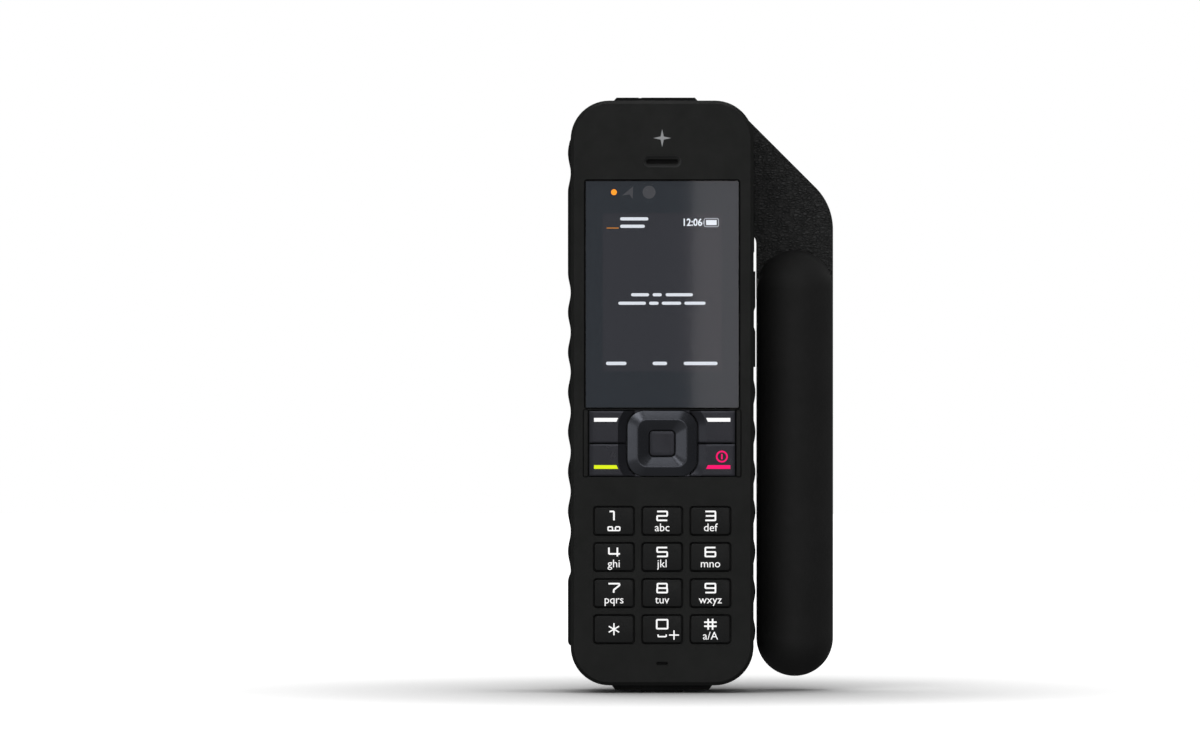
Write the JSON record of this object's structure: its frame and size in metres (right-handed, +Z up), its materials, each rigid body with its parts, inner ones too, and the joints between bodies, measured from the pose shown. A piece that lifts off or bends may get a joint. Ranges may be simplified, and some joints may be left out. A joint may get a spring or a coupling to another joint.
{
  "type": "satellite phone",
  "caption": "Upright bar-shaped satellite handset with keypad, small display, ribbed side grips, rear battery and a round antenna rod on an arm that swings up.",
  "frame": {"origin": "centre of the flat underside of the bottom tab, on the floor, on the handset's centreline", "axes": "+Z up the handset's length, +X to the right as the front is seen, -Y out of the front face, +Y out of the battery cover"},
  "size_m": [0.0757, 0.036, 0.169],
  "materials": {
    "case_plastic": "fine matt texture, near black",
    "seal_rubber": "smooth",
    "screw_steel": "blackened steel",
    "grip_rubber": "soft-touch, matt",
    "window_glass": "dark gloss, smoked",
    "display_panel": "dark display panel with metal frame",
    "indicator": "orange lamp lens",
    "fine_mesh": "woven mesh, black",
    "component_black": "moulded component",
    "silicone": "silicone sheet",
    "circuit_board": "solder mask",
    "nav_metallic": "metallic paint, satin",
    "cover_rubber": "matt rubber",
    "connector_metal": "nickel plate",
    "button_red": "satin red",
    "ceramic_patch": "fired ceramic",
    "battery_wrap": "printed film over cells",
    "card_plastic": "card plastic",
    "arm_skin": "leather grain",
    "radome_skin": "soft-touch paint",
    "bearing_plastic": "acetal",
    "key_plastic": "satin black, white legends",
    "function_key_plastic": "semi-gloss black"
  },
  "bodies": {
    "handset": {"front_housing": "case_plastic", "rear_housing": "case_plastic", "housing_seal": "seal_rubber", "housing_screws": "screw_steel", "grip_left": "grip_rubber", "grip_right": "grip_rubber", "display_window": "window_glass", "lcd_panel": "display_panel", "status_led": "indicator", "earpiece_mesh": "fine_mesh", "earpiece_speaker": "component_black", "microphone": "component_black", "keypad_mat": "silicone", "dome_board": "circuit_board", "nav_plate": "function_key_plastic", "audio_jack": "component_black", "antenna_port": "connector_metal", "usb_connector": "connector_metal", "main_board": "circuit_board", "shield_cans": "connector_metal", "loudspeaker": "component_black", "gps_antenna": "ceramic_patch", "battery_contacts": "component_black", "sim_holder": "connector_metal", "hinge_bushing": "bearing_plastic"},
    "key_1_body": {"key_1": "key_plastic"},
    "key_2_body": {"key_2": "key_plastic"},
    "key_3_body": {"key_3": "key_plastic"},
    "key_4_body": {"key_4": "key_plastic"},
    "key_5_body": {"key_5": "key_plastic"},
    "key_6_body": {"key_6": "key_plastic"},
    "key_7_body": {"key_7": "key_plastic"},
    "key_8_body": {"key_8": "key_plastic"},
    "key_9_body": {"key_9": "key_plastic"},
    "key_star_body": {"key_star": "key_plastic"},
    "key_0_body": {"key_0": "key_plastic"},
    "key_hash_body": {"key_hash": "key_plastic"},
    "soft_key_left_body": {"soft_key_left": "function_key_plastic"},
    "soft_key_right_body": {"soft_key_right": "function_key_plastic"},
    "call_key_body": {"call_key": "function_key_plastic"},
    "end_key_body": {"end_key": "function_key_plastic"},
    "nav_tilt": {"nav_tilt_plate": "component_black"},
    "nav_ring_body": {"nav_ring": "nav_metallic"},
    "select_key_body": {"select_key": "nav_metallic"},
    "volume_rocker_body": {"volume_rocker": "grip_rubber"},
    "assistance_button_body": {"assistance_button": "button_red"},
    "assistance_cover_body": {"assistance_cover": "cover_rubber"},
    "bottom_port_cover_body": {"bottom_port_cover": "cover_rubber"},
    "left_port_cover_body": {"left_port_cover": "cover_rubber"},
    "right_port_cover_body": {"right_port_cover": "cover_rubber"},
    "battery_cover_body": {"battery_cover": "case_plastic"},
    "battery_pack_body": {"battery_pack": "battery_wrap"},
    "battery_latch_body": {"battery_latch": "case_plastic"},
    "sim_card_body": {"sim_card": "card_plastic"},
    "antenna": {"antenna_arm": "arm_skin", "arm_faceplate": "arm_skin", "antenna_radome": "radome_skin", "antenna_element": "component_black", "hinge_shaft": "screw_steel", "antenna_feed": "component_black"}
  },
  "joints": [
    {"name": "key_1_press", "type": "slide", "parent": "handset", "child": "key_1_body", "axis": [0, 1, 0], "range_m": [0, 0.0004], "stiffness_N_per_m": 2500},
    {"name": "key_2_press", "type": "slide", "parent": "handset", "child": "key_2_body", "axis": [0, 1, 0], "range_m": [0, 0.0004], "stiffness_N_per_m": 2500},
    {"name": "key_3_press", "type": "slide", "parent": "handset", "child": "key_3_body", "axis": [0, 1, 0], "range_m": [0, 0.0004], "stiffness_N_per_m": 2500},
    {"name": "key_4_press", "type": "slide", "parent": "handset", "child": "key_4_body", "axis": [0, 1, 0], "range_m": [0, 0.0004], "stiffness_N_per_m": 2500},
    {"name": "key_5_press", "type": "slide", "parent": "handset", "child": "key_5_body", "axis": [0, 1, 0], "range_m": [0, 0.0004], "stiffness_N_per_m": 2500},
    {"name": "key_6_press", "type": "slide", "parent": "handset", "child": "key_6_body", "axis": [0, 1, 0], "range_m": [0, 0.0004], "stiffness_N_per_m": 2500},
    {"name": "key_7_press", "type": "slide", "parent": "handset", "child": "key_7_body", "axis": [0, 1, 0], "range_m": [0, 0.0004], "stiffness_N_per_m": 2500},
    {"name": "key_8_press", "type": "slide", "parent": "handset", "child": "key_8_body", "axis": [0, 1, 0], "range_m": [0, 0.0004], "stiffness_N_per_m": 2500},
    {"name": "key_9_press", "type": "slide", "parent": "handset", "child": "key_9_body", "axis": [0, 1, 0], "range_m": [0, 0.0004], "stiffness_N_per_m": 2500},
    {"name": "key_star_press", "type": "slide", "parent": "handset", "child": "key_star_body", "axis": [0, 1, 0], "range_m": [0, 0.0004], "stiffness_N_per_m": 2500},
    {"name": "key_0_press", "type": "slide", "parent": "handset", "child": "key_0_body", "axis": [0, 1, 0], "range_m": [0, 0.0004], "stiffness_N_per_m": 2500},
    {"name": "key_hash_press", "type": "slide", "parent": "handset", "child": "key_hash_body", "axis": [0, 1, 0], "range_m": [0, 0.0004], "stiffness_N_per_m": 2500},
    {"name": "soft_key_left_press", "type": "slide", "parent": "handset", "child": "soft_key_left_body", "axis": [0, 1, 0], "range_m": [0, 0.00035], "stiffness_N_per_m": 2500},
    {"name": "soft_key_right_press", "type": "slide", "parent": "handset", "child": "soft_key_right_body", "axis": [0, 1, 0], "range_m": [0, 0.00035], "stiffness_N_per_m": 2500},
    {"name": "call_key_press", "type": "slide", "parent": "handset", "child": "call_key_body", "axis": [0, 1, 0], "range_m": [0, 0.00035], "stiffness_N_per_m": 2500},
    {"name": "end_key_press", "type": "slide", "parent": "handset", "child": "end_key_body", "axis": [0, 1, 0], "range_m": [0, 0.00035], "stiffness_N_per_m": 2500},
    {"name": "nav_up_down", "type": "hinge", "parent": "handset", "child": "nav_tilt", "pos_m": [0, -0.0157, 0.07075], "axis": [1, 0, 0], "range_deg": [-2, 2], "stiffness_Nm_per_rad": 0.5},
    {"name": "nav_left_right", "type": "hinge", "parent": "nav_tilt", "child": "nav_ring_body", "pos_m": [0, -0.0157, 0.07075], "axis": [0, 0, 1], "range_deg": [-2, 2], "stiffness_Nm_per_rad": 0.5},
    {"name": "select_press", "type": "slide", "parent": "handset", "child": "select_key_body", "axis": [0, 1, 0], "range_m": [0, 0.00025], "stiffness_N_per_m": 4000},
    {"name": "volume_rock", "type": "hinge", "parent": "handset", "child": "volume_rocker_body", "pos_m": [0.0246, -0.001, 0.106], "axis": [0, 1, 0], "range_deg": [-1.5, 1.5], "stiffness_Nm_per_rad": 0.6},
    {"name": "assistance_press", "type": "slide", "parent": "handset", "child": "assistance_button_body", "axis": [0, 0, -1], "range_m": [0, 0.0005], "stiffness_N_per_m": 2500},
    {"name": "assistance_cover_hinge", "type": "hinge", "parent": "handset", "child": "assistance_cover_body", "pos_m": [-0.0139, -0.0006, 0.16785], "axis": [0, -1, 0], "range_deg": [0, 110]},
    {"name": "bottom_port_cover_hinge", "type": "hinge", "parent": "handset", "child": "bottom_port_cover_body", "pos_m": [0, 0.008, 0.0022], "axis": [1, 0, 0], "range_deg": [0, 90]},
    {"name": "left_port_cover_hinge", "type": "hinge", "parent": "handset", "child": "left_port_cover_body", "pos_m": [-0.0267, -0.001, 0.141], "axis": [0, 1, 0], "range_deg": [0, 90]},
    {"name": "right_port_cover_hinge", "type": "hinge", "parent": "handset", "child": "right_port_cover_body", "pos_m": [0.0263, -0.001, 0.1445], "axis": [0, -1, 0], "range_deg": [0, 90]},
    {"name": "battery_cover_lift", "type": "slide", "parent": "handset", "child": "battery_cover_body", "axis": [0, 1, 0], "range_m": [0, 0.02]},
    {"name": "battery_pack_lift", "type": "slide", "parent": "handset", "child": "battery_pack_body", "axis": [0, 1, 0], "range_m": [0, 0.01]},
    {"name": "battery_latch_slide", "type": "slide", "parent": "handset", "child": "battery_latch_body", "axis": [0, 0, -1], "range_m": [0, 0.003]},
    {"name": "sim_card_slide", "type": "slide", "parent": "handset", "child": "sim_card_body", "axis": [0, 0, 1], "range_m": [0, 0.01]},
    {"name": "antenna_swing", "type": "hinge", "parent": "handset", "child": "antenna", "pos_m": [0.0151, 0.007, 0.1569], "axis": [0, -1, 0], "range_deg": [0, 180]}
  ],
  "couplings": [
    {"joint": "battery_pack_lift", "follows": "battery_cover_lift", "ratio": 0.5}
  ]
}
